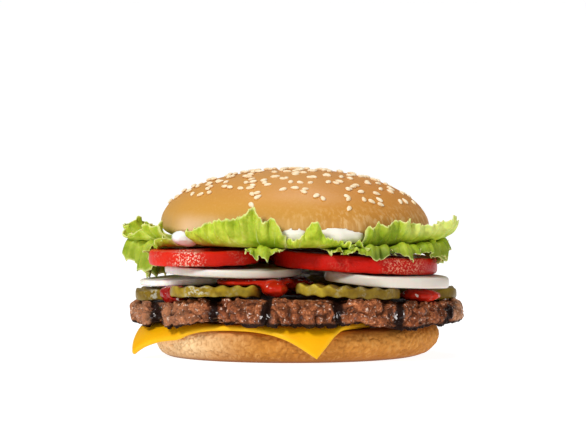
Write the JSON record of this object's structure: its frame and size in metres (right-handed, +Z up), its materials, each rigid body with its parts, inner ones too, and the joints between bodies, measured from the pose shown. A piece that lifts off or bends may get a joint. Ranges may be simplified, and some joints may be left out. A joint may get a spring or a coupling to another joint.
{
  "type": "cheeseburger",
  "caption": "Round layered burger: seeded crown, mayonnaise, ruffled lettuce, tomato, onion, ketchup, pickles, a grilled patty and a draped cheese slice on a heel.",
  "frame": {"origin": "middle of the heel's flat underside, where the burger rests", "axes": "+Z up through the crown, +X to the right and -Y towards the viewer of the front"},
  "size_m": [0.1358, 0.1331, 0.075],
  "materials": {
    "crust": "baked golden-brown crust with pale seeds",
    "crumb": "baked tan crust, finely wrinkled",
    "cheese": "smooth processed cheese",
    "beef": "grilled minced meat with dark char lines",
    "pickle": "wet crinkle-cut pickle",
    "ketchup": "wet tomato sauce",
    "onion": "wet raw onion, a little see-through",
    "tomato": "wet cut tomato with its skin at the rim",
    "lettuce": "fresh leaf with pale margins",
    "mayonnaise": "thick white sauce"
  },
  "bodies": {
    "root": {"bottom_bun": "crumb", "cheese_slice": "cheese", "patty": "beef", "pickle_far_left": "pickle", "pickle_front_left": "pickle", "pickle_front_right": "pickle", "pickle_far_right": "pickle", "pickle_back_left": "pickle", "pickle_back_right": "pickle", "ketchup_left": "ketchup", "ketchup_centre": "ketchup", "ketchup_right": "ketchup", "onion_lower_left": "onion", "onion_upper_left": "onion", "onion_right": "onion", "onion_back_left": "onion", "onion_back_right": "onion", "tomato_left": "tomato", "tomato_right": "tomato", "tomato_back_left": "tomato", "tomato_back_right": "tomato", "lettuce_left_upper": "lettuce", "lettuce_left_lower": "lettuce", "lettuce_front_left": "lettuce", "lettuce_tongue": "lettuce", "lettuce_front_centre": "lettuce", "lettuce_right_upper": "lettuce", "lettuce_right_lower": "lettuce", "lettuce_back_right": "lettuce", "lettuce_back_left": "lettuce", "mayonnaise": "mayonnaise", "top_bun": "crust"}
  },
  "joints": []
}
